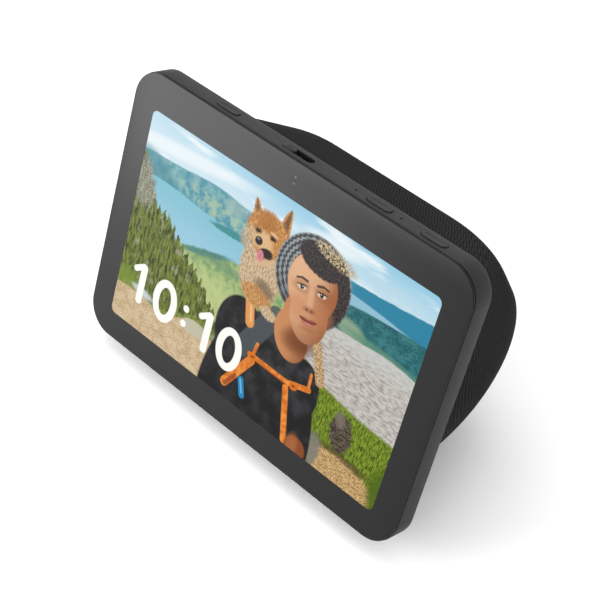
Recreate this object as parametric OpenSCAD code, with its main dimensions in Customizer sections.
// Smart display: a tilted screen slab on a wedge-shaped, fabric-covered speaker body.
// The origin is the middle of the footprint, on the surface the display stands on.
// +Z is up, the screen looks towards -Y and the sound body swells towards +Y.

/* [Display] */
// Width of the display slab
face_w = 200; // [190:1:240]
// Height of the display slab, measured along the tilted face
face_h = 138.5; // [130:0.5:170]
// Thickness of the display slab
slab_t = 12.5; // [12.2:0.1:16]
// Corner radius of the display slab
face_r = 15; // [8:0.5:20]
// How far the face leans back from upright, in degrees
tilt = 20; // [15:1:25]
// Height of the slab's lowest edge above the table
face_lift = 4.5; // [3:0.5:8]

/* [Screen] */
// Width of the lit area
screen_w = 172.3; // [140:0.1:174]
// Height of the lit area
screen_h = 107.7; // [88:0.1:109]
// Frame below the lit area
chin = 13.7; // [12:0.1:16]
// Thickness of the cover glass
glass_t = 1.1; // [0.7:0.1:1.4]

/* [Shell] */
// Wall of the slab housing
wall = 1.8; // [1.4:0.1:2.4]
// Wall of the hard shell under the fabric
shell_t = 2.2; // [1.6:0.1:3]
// Thickness of the knitted cover
fabric_t = 1.2; // [0.8:0.1:2]

/* [Sound body] */
// Depth of the whole display, front to back
depth = 112; // [106:1:140]
// Width of the body where it meets the slab
body_w = 183; // [170:1:188]
// Distance from the slab's top edge down to the body
body_drop = 10; // [6:0.5:16]
// Width of the body's flanks
flank_w = 178; // [174:1:186]
// Width of the ridge along the back
ridge_w = 155; // [130:1:165]
// Height of the ridge's centre line above the table
ridge_z = 81; // [78:1:95]
// Width of the base
base_w = 136; // [110:1:140]
// Depth of the base
base_d = 74; // [62:1:80]

/* [Speakers] */
// Frame diameter of the side speakers
driver_d = 50; // [40:1:50]
// How far a speaker cone travels each way
cone_travel = 1.5; // [0.5:0.1:2]
// How far the passive radiator travels each way
radiator_travel = 2.5; // [1:0.1:3]

/* [Controls] */
// Length of a button
button_l = 13; // [9:0.5:15]
// Width of a button
button_w = 4.6; // [3.5:0.1:5]
// How far a button is pressed
button_travel = 0.6; // [0.3:0.05:0.7]
// Length of the camera shutter's slot
slot_l = 18; // [14:0.5:20]
// Length of the shutter's knob
knob_l = 7.4; // [6:0.1:8]
// Diameter of a microphone hole
mic_hole_d = 1.2; // [0.8:0.1:1.4]

/* [Hidden] */

$fn = 64;
form_fn = 32;
eps = 0.02;

// Clearances
fit = 0.25;
slide_gap = 0.2;
air_gap = 0.3;

// Depths below the front plane of the slab, counted backwards
adhesive_t = 0.3;
lip_z = glass_t + adhesive_t;
lcd_t = 1.2;
backlight_t = 2.4;
tray_t = 1.2;
frame_z = lip_z + lcd_t + backlight_t + tray_t;
rear_wall = 1.6;
back_in = slab_t - rear_wall;

// Where the tilted face stands
glass_inset = 0.25;
face_y = -depth / 2 + (face_h / 2 - glass_inset) * sin(tilt);
face_z = face_lift + face_h / 2 * cos(tilt) + slab_t * sin(tilt);
screen_y = -face_h / 2 + chin + screen_h / 2;
screen_top = screen_y + screen_h / 2;
top_y = face_h / 2;
top_in = top_y - wall;

// Display stack
lcd_border = 2.5;
lcd_ledge = 4;
lcd_w = screen_w + 2 * lcd_border;
lcd_h = screen_h + lcd_border + lcd_ledge;
lcd_y = screen_y + (lcd_border - lcd_ledge) / 2;
lcd_low = lcd_y - lcd_h / 2;
adhesive_edge = 1.2;
adhesive_w = 3.5;
frame_r = face_r - wall - fit;

// Controls along the top edge
control_z = 6.1;
mic_off_x = -48.7;
volume_down_x = 40.5;
volume_up_x = 70;
shutter_x = -6;
mic_x = [27.4, 52.2];
button_proud = 0.5;
flange_t = 1.15;
flange_lip = 1.2;
flange_y = top_in - 0.05;
stem_w = 3;
stem_l = 1.35;
plunger_d = 2.2;
plunger_l = 1.4;
plunger_gap = 0.2;
switch_w = 4.5;
switch_h = 1.6;
stem_end = flange_y - flange_t - stem_l;
switch_top = stem_end - button_travel - 0.4;
key_board_t = 1;
key_board_y = switch_top - switch_h - key_board_t;
key_board_z = [2.4, 10];
left_notch = [mic_off_x - 9, mic_off_x + 9.5];
right_notch = [mic_x[0] - 4, volume_up_x + 9];
mic_l = 3.5;
mic_w = 2.65;
mic_h = 1;
gasket_d = 3;

// Camera and its shutter
camera_y = (screen_top + top_y) / 2;
camera_w = 8;
camera_front = 3.4;
barrel_d = 6.2;
barrel_z = 2.5;
lens_d = 4;
bay = [-20, 9.5];
bay_y = camera_y - camera_w / 2 - 1.2;
camera_board_t = 0.8;
slot_w = 4.6;
knob_w = 4;
knob_proud = 0.3;
shutter_travel = slot_l - knob_l - 0.2;
knob_x = shutter_x - shutter_travel / 2;
blade_w = 10;
blade_t = 0.5;
blade_z = lip_z + slide_gap;
blade_low = camera_y - barrel_d / 2 - 1;
slider_flange_l = 12;
slider_flange_w = 7;
slider_flange_t = 1;
slider_flange_y = top_in - fit;
arm_w = 4;
arm_drop = 1.6;
guide_t = 0.6;
guide_y = slider_flange_y - arm_drop - air_gap;
guide_back = control_z + slider_flange_w / 2 + air_gap;
sensor_x = 14;
sensor_w = 3;
sensor_h = 0.9;
sensor_depth = 1.4;

// Boards in the slab
board_w = 110;
board_h = 70;
board_y = -5;
board_t = 1;
spreader_t = 0.8;
pad_t = 0.5;
chip_t = 1;
chip_w = 14;
chips = [[-15, -5], [20, 0]];
spreader_z = frame_z;
pad_z = spreader_z + spreader_t;
chip_z = pad_z + pad_t;
board_z = chip_z + chip_t;
shield_t = 1.2;
shield_skin = 0.3;
board_edge = 5;
post_d = 6;
board_post_d = 5;
screw_d = 2;
screw_bore = 1.9;
screw_head_d = 3.8;
screw_head_h = 1.1;
flush_head_h = 0.9;
housing_posts = [[-78, 46], [78, 46], [-78, -36], [78, -36], [-30, 50], [30, 50]];
flex_w = 24;
flex_t = 0.3;
flex_drop = 1.6;
antenna_l = 35;
antenna_w = 3.5;
antenna_t = 0.6;

// Sound body form
base_z = 4.3;
base_r = 30;
base_front = -38;
floor_t = 2.5;
front_r = 22;
front_low = -48;
ridge_r = 18;
ridge_end = 41.6;
flank_x = 19.8;
flank_y = 62;
flank_z = 47;
flank_mid_z = 57.8;
form_over = 1;
cut_lead = 0.5;

// Bulkhead and speaker box
bulkhead_t = 2;
box_wall = 2;
box_w = 152;
box_low = -38;
box_high = 18;
box_front = slab_t + bulkhead_t;
radiator_room = radiator_travel + 11.1;
box_back = depth / 2 - fabric_t - shell_t - radiator_room;
ribbon_y = box_low - 3.2;
ribbon_x = 20;
ribbon_w = 12;
ribbon_t = 0.4;
driver_y = 9;
driver_z = 58;
boss_d = 9;
boss_l = 12;
boss_at = [[-84, 20], [84, 20], [-84, -20], [84, -20]];

// Side speakers, as radii and distances behind the flange
flange_out = driver_d / 2;
speaker_flange_t = 2;
flange_w = 4.5;
cone_r = flange_out - flange_w - 2.5;
coil_r = 7;
coil_t = 0.8;
basket_l = 18;
basket_r = 14;
magnet_l = 10;
coil_end = 5 - basket_l - magnet_l;
pole_r = coil_r - 1.2;
gap_r = coil_r + 1.2;
skin = 0.8;
speaker_x = box_w / 2;
speaker_screw_r = flange_out - 2;

// Passive radiator
radiator_w = 56;
radiator_h = 22;
radiator_roll = 3;

// Power inlet
power_board_z = 10;
power_board_t = 1.2;
power_board_w = 60;
power_board_d = 42;
power_board_y = -3;
power_post_at = [[-25, -18], [25, -18], [-25, 12], [25, 12]];
jack_w = 9;
jack_h = 11;
jack_l = 14;
jack_y = 8;
jack_axis_z = power_board_z + power_board_t + 6;
jack_bore = 5.7;
jack_bore_l = 9.5;
jack_pin = 2;
trim_w = 26;
trim_h = 17;
trim_wall = 1.5;
trim_floor = 2;
plug_d = 8;

// Base
foot_t = 2;
foot_w = 8;
foot_inset = 3;
plate_inset = 1.5;
base_screw_at = [[-48, -27], [48, -27], [-48, 16], [48, 16]];

// Colours
charcoal = "#57595b";
charcoal_dark = "#3a3c3e";
knit = "#2c2e30";
black = "#151617";
board_green = "#1f4a36";
steel = "#b4b7ba";
graphite = "#6b6e70";
rubber = "#1d1e1f";
copper = "#a86f3c";

// ---------- Shared shapes ----------

// Puts its children on the tilted face: x to the right, y up the face, z out of it.
module on_face() {
    translate([0, face_y, face_z]) rotate([90 - tilt, 0, 0]) children();
}

// A point of the face frame, at y up the face and a depth behind it, as [Y, Z].
function face_point(y, back) = [
    face_y + y * sin(tilt) + back * cos(tilt),
    face_z + y * cos(tilt) - back * sin(tilt)
];

// Rounded rectangle about the origin.
module rounded(w, h, r) {
    square([w - 2 * r, h], center = true);
    square([w, h - 2 * r], center = true);
    for (sx = [-1, 1], sy = [-1, 1]) {
        translate([sx * (w / 2 - r), sy * (h / 2 - r)]) circle(r);
    }
}

// Plate between two depths behind the front plane.
module slab_plate(w, h, r, front, back) {
    translate([0, 0, -back]) linear_extrude(back - front) rounded(w, h, r);
}

// Box between two depths, given its low corner and size in x and y.
module slab_box(x, y, w, h, front, back) {
    translate([x, y, -back]) cube([w, h, back - front]);
}

// Pill shape, l long in x.
module pill(l, w) {
    square([l - w, w], center = true);
    for (s = [-1, 1]) translate([s * (l - w) / 2, 0]) circle(w / 2);
}

// Pill-shaped column through the slab's top edge, from y0 up to y1.
module top_pill(x, l, w, y0, y1) {
    translate([x, y0, -control_z]) rotate([-90, 0, 0]) linear_extrude(y1 - y0) pill(l, w);
}

// Round column through the slab's top edge.
module top_rod(x, d, y0, y1) {
    translate([x, y0, -control_z]) rotate([-90, 0, 0]) cylinder(d = d, h = y1 - y0);
}

// Upright column over the base's outline, drawn in by an inset.
module base_column(inset, z0, z1) {
    translate([0, base_front + base_d / 2, z0]) linear_extrude(z1 - z0)
        rounded(base_w - 2 * inset, base_d - 2 * inset, base_r - inset);
}

// The sound body's outer form, drawn in by an inset. It is cut off at the slab and at a floor
// level, or past both by a lead where the form hollows a piece out.
module body_form(inset, floor_z = base_z, lead = 0) {
    front_h = top_y - body_drop - front_low;
    intersection() {
        hull() {
            on_face() translate([0, front_low + front_h / 2, form_over - slab_t])
                linear_extrude(eps)
                    rounded(body_w - 2 * inset, front_h - 2 * inset, front_r - inset, $fn = form_fn);
            for (s = [-1, 1]) {
                translate([s * (ridge_w / 2 - ridge_end), depth / 2 - ridge_r, ridge_z])
                    scale([ridge_end - inset, ridge_r - inset, ridge_r - inset])
                        sphere(1, $fn = form_fn);
                translate([s * (flank_w / 2 - flank_x), depth / 2 - flank_y, flank_mid_z])
                    scale([flank_x - inset, flank_y - inset, flank_z - inset])
                        sphere(1, $fn = form_fn);
            }
            base_column(inset, floor_z - form_over, floor_z - form_over + eps, $fn = form_fn);
        }
        on_face() slab_box(-face_w, -face_h, 2 * face_w, 2 * face_h, slab_t - lead, slab_t + 2 * depth);
        translate([-face_w, -face_w, floor_z - lead]) cube(2 * face_w);
    }
}

// Ring between two radii and two places along +X, about the speaker axis.
module ring_x(r_out, r_in, x0, x1) {
    translate([x0, 0, 0]) rotate([0, 90, 0]) difference() {
        cylinder(r = r_out, h = x1 - x0);
        translate([0, 0, -1]) cylinder(r = r_in, h = x1 - x0 + 2);
    }
}

// Puts a right-hand speaker piece on the right (1) or the left (-1) side.
module at_speaker(side) {
    translate([0, driver_y, driver_z]) mirror([side < 0 ? 1 : 0, 0, 0])
        translate([speaker_x, 0, 0]) children();
}

// Pan-head screw pointing along -Z, its head seated on z = 0.
module screw(length, head_d = screw_head_d, head_h = screw_head_h) {
    cylinder(d = head_d, h = head_h);
    translate([0, 0, -length]) cylinder(d = screw_bore, h = length + eps);
}

// Drives its children to the positions of a list.
module each_at(list) {
    for (p = list) translate([p[0], p[1], 0]) children();
}

// ---------- Display slab ----------

module cover_glass() {
    color(charcoal) on_face()
        slab_plate(face_w - 2 * glass_inset, face_h - 2 * glass_inset, face_r - glass_inset, 0, glass_t);
}

module glass_adhesive() {
    edge = glass_inset + adhesive_edge;
    color(black) on_face() difference() {
        slab_plate(face_w - 2 * edge, face_h - 2 * edge, face_r - edge, glass_t, lip_z);
        slab_plate(face_w - 2 * (edge + adhesive_w), face_h - 2 * (edge + adhesive_w),
            face_r - edge - adhesive_w, glass_t - 1, lip_z + 1);
    }
}

module optical_film() {
    color("#8fa3ad") on_face() translate([0, screen_y, 0])
        slab_box(-screen_w / 2, -screen_h / 2, screen_w, screen_h, glass_t, lip_z);
}

module lcd_panel() {
    color("#10222c") on_face()
        slab_box(-lcd_w / 2, lcd_low, lcd_w, lcd_h, lip_z, lip_z + lcd_t);
}

module backlight_unit() {
    edge = 0.5;
    color(steel) on_face()
        slab_box(-lcd_w / 2 + edge, lcd_low + edge, lcd_w - 2 * edge, lcd_h - 2 * edge,
            lip_z + lcd_t, frame_z - tray_t);
}

module board_posts(d, front, back) {
    for (sx = [-1, 1], sy = [-1, 1]) {
        translate([sx * (board_w / 2 - board_edge), board_y + sy * (board_h / 2 - board_edge), -back])
            cylinder(d = d, h = back - front);
    }
}

module mid_frame() {
    w = face_w - 2 * (wall + fit);
    h = face_h - 2 * (wall + fit);
    color(graphite) on_face() difference() {
        union() {
            slab_plate(w, h, frame_r, lip_z, frame_z);
            each_at(housing_posts) translate([0, 0, -back_in]) cylinder(d = post_d, h = back_in - frame_z + eps);
            board_posts(board_post_d, frame_z - eps, board_z);
        }
        slab_box(-lcd_w / 2 - fit, lcd_low - fit, lcd_w + 2 * fit, lcd_h + 2 * fit,
            lip_z - 1, frame_z - tray_t);
        slab_box(left_notch[0], key_board_y, left_notch[1] - left_notch[0], face_h, lip_z - 1, frame_z + 1);
        slab_box(right_notch[0], key_board_y, right_notch[1] - right_notch[0], face_h, lip_z - 1, frame_z + 1);
        slab_box(bay[0], bay_y, bay[1] - bay[0], face_h, lip_z - 1, frame_z + 1);
        slab_box(sensor_x - sensor_w / 2 - fit, camera_y - sensor_w / 2 - fit,
            sensor_w + 2 * fit, sensor_w + 2 * fit, lip_z - 1, lip_z + sensor_depth);
        slab_box(-flex_w / 2 - fit, lcd_low - flex_drop - 2 * fit, flex_w + 2 * fit, flex_drop + 2 * fit,
            lip_z - 1, frame_z + 1);
        each_at(housing_posts) translate([0, 0, -back_in - 1]) cylinder(d = screw_d, h = 6);
        board_posts(screw_d, board_z - 3, board_z + 1);
    }
}

module display_housing() {
    color(charcoal) on_face() difference() {
        slab_plate(face_w, face_h, face_r, lip_z, slab_t);
        slab_plate(face_w - 2 * wall, face_h - 2 * wall, face_r - wall, lip_z - 1, back_in);
        for (x = [mic_off_x, volume_down_x, volume_up_x]) {
            top_pill(x, button_l + 2 * slide_gap, button_w + 2 * slide_gap, top_in - 1, top_y + 1);
        }
        top_pill(shutter_x, slot_l, slot_w, top_in - 1, top_y + 1);
        for (x = mic_x) top_rod(x, mic_hole_d, top_in - 1, top_y + 1);
        // Window for the ribbon to the power board
        slab_box(ribbon_x - 2, ribbon_y - 2, ribbon_w + 4, 4, back_in - 1, slab_t + 1);
        each_at(housing_posts) translate([0, 0, -slab_t - 1]) cylinder(d = screw_d + 0.4, h = rear_wall + 2);
        each_at(housing_posts) translate([0, 0, -slab_t - 1])
            cylinder(d = screw_head_d + 0.4, h = 1 + flush_head_h);
        each_at(boss_at) translate([0, 0, -slab_t - 1]) cylinder(d = screw_d + 0.4, h = rear_wall + 2);
    }
}

module display_flex() {
    top = lcd_low;
    low = lcd_low - flex_drop;
    color(copper) on_face() {
        slab_box(-flex_w / 2, low, flex_w, top - low, lip_z + lcd_t - flex_t, lip_z + lcd_t);
        slab_box(-flex_w / 2, low, flex_w, flex_t, lip_z + lcd_t - flex_t, board_z);
        slab_box(-flex_w / 2, low, flex_w, board_y - board_h / 2 + board_edge - low, board_z - flex_t, board_z);
    }
}

module camera_module() {
    color(black) on_face() translate([0, camera_y, 0]) difference() {
        union() {
            slab_box(-camera_w / 2, -camera_w / 2, camera_w, camera_w, camera_front, frame_z);
            translate([0, 0, -camera_front - eps]) cylinder(d = barrel_d, h = camera_front - barrel_z + eps);
        }
        translate([0, 0, -camera_front - 1]) cylinder(d = lens_d + 0.04, h = camera_front);
    }
}

module camera_lens() {
    color("#26324a") on_face() translate([0, camera_y, -camera_front - 1])
        cylinder(d = lens_d, h = camera_front + 1 - barrel_z);
}

module camera_board() {
    overlap = 2.5;
    color(board_green) on_face()
        slab_box(bay[0] - overlap, camera_y - camera_w / 2, bay[1] - bay[0] + 3 * overlap, camera_w - 1,
            frame_z, frame_z + camera_board_t);
}

module light_sensor() {
    color("#d9d4b8") on_face()
        slab_box(sensor_x - sensor_w / 2, camera_y - sensor_w / 2, sensor_w, sensor_w,
            lip_z + sensor_depth - sensor_h, lip_z + sensor_depth);
}

module shutter_slider() {
    color(charcoal) on_face() translate([knob_x, 0, 0]) {
        top_pill(0, knob_l, knob_w, slider_flange_y - eps, top_y + knob_proud);
        slab_box(-slider_flange_l / 2, slider_flange_y - slider_flange_t, slider_flange_l, slider_flange_t,
            control_z - slider_flange_w / 2, control_z + slider_flange_w / 2);
        slab_box(-arm_w / 2, slider_flange_y - arm_drop, arm_w, arm_drop,
            blade_z, control_z + slider_flange_w / 2);
        slab_box(-blade_w / 2, blade_low, blade_w, slider_flange_y - blade_low, blade_z, blade_z + blade_t);
    }
}

module shutter_guide() {
    low = knob_x - slider_flange_l / 2 - 1;
    length = slider_flange_l + shutter_travel + 2;
    rail_back = min(guide_back + guide_t, back_in);
    color(black) on_face() {
        slab_box(low, guide_y - guide_t, length, guide_t, 4.8, rail_back);
        slab_box(low, guide_y - eps, length, top_in - guide_y + eps, guide_back, rail_back);
    }
}

module button(x) {
    color(charcoal) on_face() {
        top_pill(x, button_l, button_w, flange_y - eps, top_y + button_proud);
        top_pill(x, button_l + 2 * flange_lip, button_w + 2 * flange_lip, flange_y - flange_t, flange_y);
        translate([x - stem_w / 2, 0, 0])
            slab_box(0, stem_end, stem_w, stem_l + eps, control_z - stem_w / 2, control_z + stem_w / 2);
    }
}

module mic_off_button() { button(mic_off_x); }

module volume_down_button() { button(volume_down_x); }

module volume_up_button() { button(volume_up_x); }

module plunger(x) {
    color("#e3e3dc") on_face() top_rod(x, plunger_d, stem_end - plunger_l, stem_end);
}

module mic_off_plunger() { plunger(mic_off_x); }

module volume_down_plunger() { plunger(volume_down_x); }

module volume_up_plunger() { plunger(volume_up_x); }

module key_switches() {
    color(steel) on_face() for (x = [mic_off_x, volume_down_x, volume_up_x]) difference() {
        slab_box(x - switch_w / 2, switch_top - switch_h, switch_w, switch_h,
            control_z - switch_w / 2, control_z + switch_w / 2);
        top_rod(x, plunger_d + 2 * plunger_gap, stem_end - plunger_l - button_travel - plunger_gap, top_y);
    }
}

module key_board(notch) {
    color(board_green) on_face()
        slab_box(notch[0] + fit, key_board_y, notch[1] - notch[0] - 2 * fit, key_board_t,
            key_board_z[0], key_board_z[1]);
}

module key_board_left() { key_board(left_notch); }

module key_board_right() { key_board(right_notch); }

module microphones() {
    color(steel) on_face() for (x = mic_x) {
        slab_box(x - mic_l / 2, key_board_y + key_board_t, mic_l, mic_h,
            control_z - mic_w / 2, control_z + mic_w / 2);
    }
}

module mic_gaskets() {
    low = key_board_y + key_board_t + mic_h;
    color(rubber) on_face() for (x = mic_x) difference() {
        top_rod(x, gasket_d, low, top_in);
        top_rod(x, mic_hole_d, low - 1, top_in + 1);
    }
}

module heat_spreader() {
    inset = 2 * board_edge + 1;
    color(steel) on_face()
        slab_box(-board_w / 2 + inset, board_y - board_h / 2 + inset - 3, board_w - 2 * inset,
            board_h - 2 * inset + 6, spreader_z, spreader_z + spreader_t);
}

module chip_block(front, back) {
    for (c = chips) slab_box(c[0] - chip_w / 2, c[1] - chip_w / 2, chip_w, chip_w, front, back);
}

module thermal_pads() { color("#8da0b0") on_face() chip_block(pad_z, pad_z + pad_t); }

module main_chips() { color(black) on_face() chip_block(chip_z, chip_z + chip_t); }

module main_board() {
    color(board_green) on_face() difference() {
        slab_box(-board_w / 2, board_y - board_h / 2, board_w, board_h, board_z, board_z + board_t);
        board_posts(screw_d + 0.4, board_z - 1, board_z + board_t + 1);
    }
}

module chip_shield() {
    w = 60;
    h = 40;
    color(steel) on_face() translate([-w / 2, board_y - h / 2, 0]) difference() {
        slab_box(0, 0, w, h, board_z + board_t, board_z + board_t + shield_t);
        slab_box(shield_skin, shield_skin, w - 2 * shield_skin, h - 2 * shield_skin,
            board_z + board_t - 1, board_z + board_t + shield_t - shield_skin);
    }
}

module antennas() {
    color(copper) on_face() for (s = [-1, 1]) {
        x = s > 0 ? face_w / 2 - wall - antenna_t : -face_w / 2 + wall;
        slab_box(x, -antenna_l - 5, antenna_t, antenna_l, back_in - 0.4 - antenna_w, back_in - 0.4);
    }
}

module housing_screws() {
    color(steel) on_face() each_at(housing_posts) translate([0, 0, flush_head_h - slab_t]) mirror([0, 0, 1])
        screw(5, screw_head_d, flush_head_h);
}

module board_screws() {
    x = board_w / 2 - board_edge;
    color(steel) {
        on_face() for (sx = [-1, 1], sy = [-1, 1]) {
            translate([sx * x, board_y + sy * (board_h / 2 - board_edge), -board_z - board_t])
                mirror([0, 0, 1]) screw(board_t + 2);
        }
        each_at(power_post_at) translate([0, 0, power_board_z + power_board_t]) screw(power_board_t + 2);
    }
}

module body_screws() {
    color(steel) on_face() each_at(boss_at) translate([0, 0, -back_in])
        screw(rear_wall + bulkhead_t + 6);
}

// ---------- Sound body ----------

module grille_slots() {
    slot = 3;
    pitch = 6;
    reach = flange_out - 1;
    for (s = [-1, 1], k = [-3:3]) {
        half = sqrt(reach * reach - k * k * pitch * pitch);
        translate([s > 0 ? speaker_x : -speaker_x - 20, driver_y + k * pitch - slot / 2, driver_z - half])
            cube([20, slot, 2 * half]);
    }
}

module radiator_slots() {
    slot = 3;
    pitch = 8;
    for (k = [-3:3]) {
        translate([k * pitch - slot / 2, box_back + 4, driver_z - radiator_h / 2])
            cube([slot, 20, radiator_h]);
    }
}

module inlet_prism(w, h, y0, y1) {
    translate([0, y0, jack_axis_z]) rotate([-90, 0, 0]) linear_extrude(y1 - y0) pill(w, h);
}

module rear_housing() {
    inside = fabric_t + shell_t;
    color(charcoal_dark) difference() {
        union() {
            difference() {
                body_form(fabric_t);
                body_form(inside, base_z + floor_t + cut_lead, cut_lead);
            }
            intersection() {
                on_face() each_at(boss_at) translate([0, 0, -box_front - boss_l])
                    cylinder(d = boss_d, h = boss_l);
                body_form(fabric_t + 0.5);
            }
            each_at(power_post_at) translate([0, 0, base_z + floor_t - eps])
                cylinder(d = post_d, h = power_board_z - base_z - floor_t + eps);
        }
        on_face() each_at(boss_at) translate([0, 0, -box_front - boss_l + 3]) cylinder(d = screw_d, h = boss_l);
        each_at(power_post_at) translate([0, 0, power_board_z - 3]) cylinder(d = screw_d, h = 4);
        each_at(base_screw_at) translate([0, 0, base_z - 1]) cylinder(d = screw_d, h = floor_t + 2);
        grille_slots();
        radiator_slots();
        inlet_prism(trim_w + 2 * slide_gap, trim_h + 2 * slide_gap, jack_y + jack_l, depth);
    }
}

module fabric_cover() {
    color(knit) difference() {
        body_form(0);
        body_form(fabric_t, base_z, cut_lead);
        inlet_prism(trim_w + 2 * slide_gap, trim_h + 2 * slide_gap, jack_y + jack_l, depth);
    }
}

// Side outline of the speaker box as [Y, Z]: its front edge follows the tilted face.
function box_outline() = [
    face_point(box_low, box_front),
    [24, 31],
    [box_back, 45],
    [box_back, 71],
    [26, 84],
    face_point(box_high, box_front)
];

module along_x(w) {
    translate([-w / 2, 0, 0]) rotate([90, 0, 90]) linear_extrude(w) children();
}

module speaker_screw_ring(d, x0, x1) {
    for (a = [45:90:315]) rotate([a, 0, 0]) translate([x0, speaker_screw_r, 0]) rotate([0, 90, 0])
        cylinder(d = d, h = x1 - x0);
}

module speaker_box() {
    color(black) difference() {
        along_x(box_w) polygon(box_outline());
        along_x(box_w - 2 * box_wall) offset(delta = -box_wall) polygon(box_outline());
        // Open front, closed by the bulkhead
        intersection() {
            along_x(box_w - 2 * box_wall) polygon(box_outline());
            on_face() slab_box(-face_w / 2, box_low + 2 * box_wall, face_w, box_high - box_low - 4 * box_wall,
                box_front - 1, box_front + box_wall + 1);
        }
        for (s = [-1, 1]) at_speaker(s) {
            translate([-box_wall - 1, 0, 0]) rotate([0, 90, 0])
                cylinder(r = flange_out - flange_w + 1.5, h = box_wall + 2);
            speaker_screw_ring(screw_d, -box_wall - 1, 1);
        }
        translate([0, box_back - box_wall - 1, driver_z]) rotate([-90, 0, 0])
            linear_extrude(box_wall + 2) pill(radiator_w + 2 * radiator_roll, radiator_h + 2 * radiator_roll - 1);
    }
}

module bulkhead() {
    ear = 2 * boss_at[1][0] + boss_d - 2;
    color(charcoal_dark) on_face() difference() {
        union() {
            slab_box(-box_w / 2, box_low, box_w, box_high - box_low, slab_t, box_front);
            for (y = [20, -20]) slab_box(-ear / 2, y - boss_d / 2, ear, boss_d, slab_t, box_front);
        }
        each_at(boss_at) translate([0, 0, -box_front - 1]) cylinder(d = screw_d + 0.4, h = bulkhead_t + 2);
    }
}

module basket(side) {
    inner = flange_out - flange_w;
    color(graphite) at_speaker(side) difference() {
        union() {
            ring_x(flange_out, inner, 0, speaker_flange_t);
            rotate([0, 90, 0]) rotate_extrude() polygon([
                [inner, eps], [inner + 1.2, eps], [inner + 1.2, -2], [basket_r, -basket_l + 2],
                [basket_r, -basket_l], [gap_r + 0.5, -basket_l], [gap_r + 0.5, -basket_l + 1.5],
                [basket_r - 1.5, -basket_l + 1.5], [inner, -2]
            ]);
        }
        speaker_screw_ring(screw_d, -1, speaker_flange_t + 1);
    }
}

module magnet(side) {
    back = -basket_l - magnet_l;
    gap_end = coil_end - cone_travel - 0.5;
    color(steel) at_speaker(side) rotate([0, 90, 0]) rotate_extrude() polygon([
        [0, back], [basket_r, back], [basket_r, -basket_l], [gap_r, -basket_l],
        [gap_r, gap_end], [pole_r, gap_end], [pole_r, -basket_l + 1], [0, -basket_l + 1]
    ]);
}

module cone(side) {
    rim = speaker_flange_t - skin;
    neck = -6;
    color(black) at_speaker(side) rotate([0, 90, 0]) rotate_extrude() polygon([
        [0, neck + 3], [coil_r - 1, neck + 1], [cone_r, rim - skin], [cone_r, rim],
        [coil_r, neck + 3], [3, neck + 5], [0, neck + 5.5]
    ]);
    color(copper) at_speaker(side) ring_x(coil_r + coil_t / 2, coil_r - coil_t / 2, coil_end, neck + 1.6);
}

module surround(side) {
    inner = cone_r + air_gap;
    outer = flange_out - flange_w;
    mid = (inner + outer) / 2;
    roll = (outer - inner) / 2;
    color(rubber) at_speaker(side) rotate([0, 90, 0]) rotate_extrude() difference() {
        translate([mid, speaker_flange_t - skin]) circle(roll);
        translate([mid - roll - 1, speaker_flange_t - skin - roll - 1]) square([2 * roll + 2, roll + 1]);
    }
}

module spiders() {
    color("#b58a3f") for (s = [-1, 1]) at_speaker(s)
        ring_x(basket_r - 1.6, coil_r + coil_t / 2 + air_gap, -basket_l + 1.5, -basket_l + 2.1);
}

module left_basket() { basket(-1); }

module left_magnet() { magnet(-1); }

module left_cone() { cone(-1); }

module left_surround() { surround(-1); }

module right_basket() { basket(1); }

module right_magnet() { magnet(1); }

module right_cone() { cone(1); }

module right_surround() { surround(1); }

module speaker_screws() {
    color(steel) for (s = [-1, 1]) at_speaker(s) {
        speaker_screw_ring(screw_bore, -1.5, speaker_flange_t + eps);
        speaker_screw_ring(3.2, speaker_flange_t, speaker_flange_t + 0.8);
    }
}

module radiator_plate() {
    color(black) translate([0, box_back - box_wall, driver_z]) rotate([-90, 0, 0])
        linear_extrude(box_wall) pill(radiator_w, radiator_h);
}

module radiator_surround() {
    color(rubber) translate([0, box_back - 1.5, driver_z]) rotate([-90, 0, 0])
        linear_extrude(1) difference() {
            pill(radiator_w + 2 * radiator_roll, radiator_h + 2 * radiator_roll - 1);
            pill(radiator_w + 2 * air_gap, radiator_h + 2 * air_gap);
        }
}

module power_board() {
    color(board_green) difference() {
        translate([-power_board_w / 2, power_board_y - power_board_d / 2, power_board_z])
            cube([power_board_w, power_board_d, power_board_t]);
        each_at(power_post_at) translate([0, 0, power_board_z - 1]) cylinder(d = screw_d + 0.4, h = 4);
    }
}

module dc_jack() {
    back = jack_y + jack_l;
    color(black) {
        difference() {
            translate([-jack_w / 2, jack_y, power_board_z + power_board_t]) cube([jack_w, jack_l, jack_h]);
            translate([0, back - jack_bore_l, jack_axis_z]) rotate([-90, 0, 0])
                cylinder(d = jack_bore, h = jack_bore_l + 1);
        }
        translate([0, back - jack_bore_l - 1, jack_axis_z]) rotate([-90, 0, 0])
            cylinder(d = jack_pin, h = jack_bore_l);
    }
}

module inlet_trim() {
    front = jack_y + jack_l;
    color(black) difference() {
        intersection() {
            inlet_prism(trim_w, trim_h, front, depth);
            body_form(0);
        }
        inlet_prism(trim_w - 2 * trim_wall, trim_h - 2 * trim_wall, front + trim_floor, depth);
        translate([0, front - 1, jack_axis_z]) rotate([-90, 0, 0]) cylinder(d = plug_d, h = trim_floor + 2);
    }
}

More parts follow.
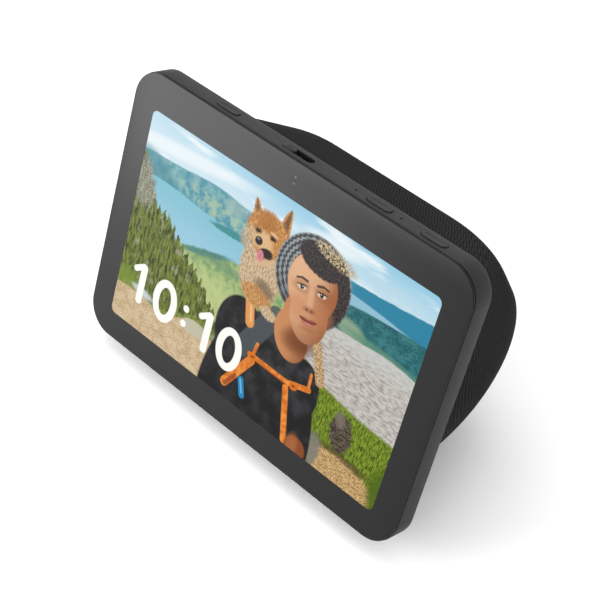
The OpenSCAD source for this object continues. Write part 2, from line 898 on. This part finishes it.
// Flat ribbon from the main board, through the slab's window, to the power board.
module board_ribbon() {
    route = [
        face_point(board_y - board_h / 2 + 2, board_z + board_t + ribbon_t),
        face_point(ribbon_y, board_z + board_t + ribbon_t),
        face_point(ribbon_y, slab_t + 4),
        [power_board_y - power_board_d / 2 + 2, power_board_z + power_board_t + ribbon_t]
    ];
    color(copper) translate([ribbon_x, 0, 0]) rotate([90, 0, 90]) linear_extrude(ribbon_w)
        for (i = [0:len(route) - 2]) hull() {
            translate(route[i]) circle(d = ribbon_t, $fn = 12);
            translate(route[i + 1]) circle(d = ribbon_t, $fn = 12);
        }
}

module base_plate() {
    color(charcoal_dark) difference() {
        base_column(plate_inset, foot_t, base_z);
        each_at(base_screw_at) translate([0, 0, foot_t - 1]) cylinder(d = screw_d + 0.4, h = base_z);
        each_at(base_screw_at) translate([0, 0, foot_t - 1]) cylinder(d = screw_head_d + 0.6, h = 1 + screw_head_h);
    }
}

module rubber_foot() {
    color(rubber) difference() {
        base_column(foot_inset, 0, foot_t);
        base_column(foot_inset + foot_w, -1, foot_t + 1);
    }
}

module base_screws() {
    color(steel) each_at(base_screw_at) translate([0, 0, foot_t + screw_head_h]) mirror([0, 0, 1])
        screw(3);
}

cover_glass();
glass_adhesive();
optical_film();
lcd_panel();
backlight_unit();
mid_frame();
display_housing();
display_flex();
camera_module();
camera_lens();
camera_board();
light_sensor();
shutter_slider();
shutter_guide();
mic_off_button();
volume_down_button();
volume_up_button();
mic_off_plunger();
volume_down_plunger();
volume_up_plunger();
key_switches();
key_board_left();
key_board_right();
microphones();
mic_gaskets();
heat_spreader();
thermal_pads();
main_chips();
main_board();
chip_shield();
antennas();
housing_screws();
board_screws();
body_screws();
rear_housing();
fabric_cover();
speaker_box();
bulkhead();
left_basket();
left_magnet();
left_cone();
left_surround();
right_basket();
right_magnet();
right_cone();
right_surround();
spiders();
speaker_screws();
radiator_plate();
radiator_surround();
power_board();
dc_jack();
inlet_trim();
board_ribbon();
base_plate();
rubber_foot();
base_screws();
